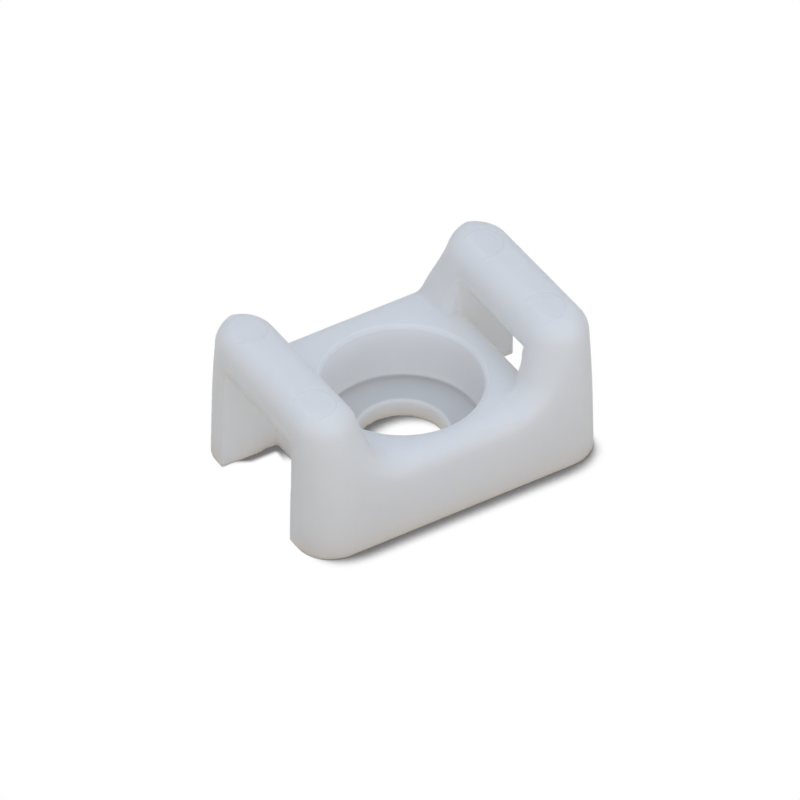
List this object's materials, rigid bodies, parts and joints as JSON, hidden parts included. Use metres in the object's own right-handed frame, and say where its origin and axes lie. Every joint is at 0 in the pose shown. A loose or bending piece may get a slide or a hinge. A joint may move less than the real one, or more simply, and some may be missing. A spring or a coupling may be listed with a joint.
{
  "type": "cable tie mount",
  "caption": "Screw-on saddle mount for cable ties: a counterbored middle block between two bridged ears, with a tie tunnel under each ear.",
  "frame": {"origin": "centre of the base, on the mounting face, on the screw's axis", "axes": "+X along the tie, +Y across it, +Z away from the panel, up the screw hole"},
  "size_m": [0.0224, 0.0152, 0.011],
  "materials": {
    "natural_nylon": "natural unfilled nylon 6.6, milky and slightly translucent, satin moulded surface"
  },
  "bodies": {
    "root": {"tie_mount": "natural_nylon"}
  },
  "joints": []
}
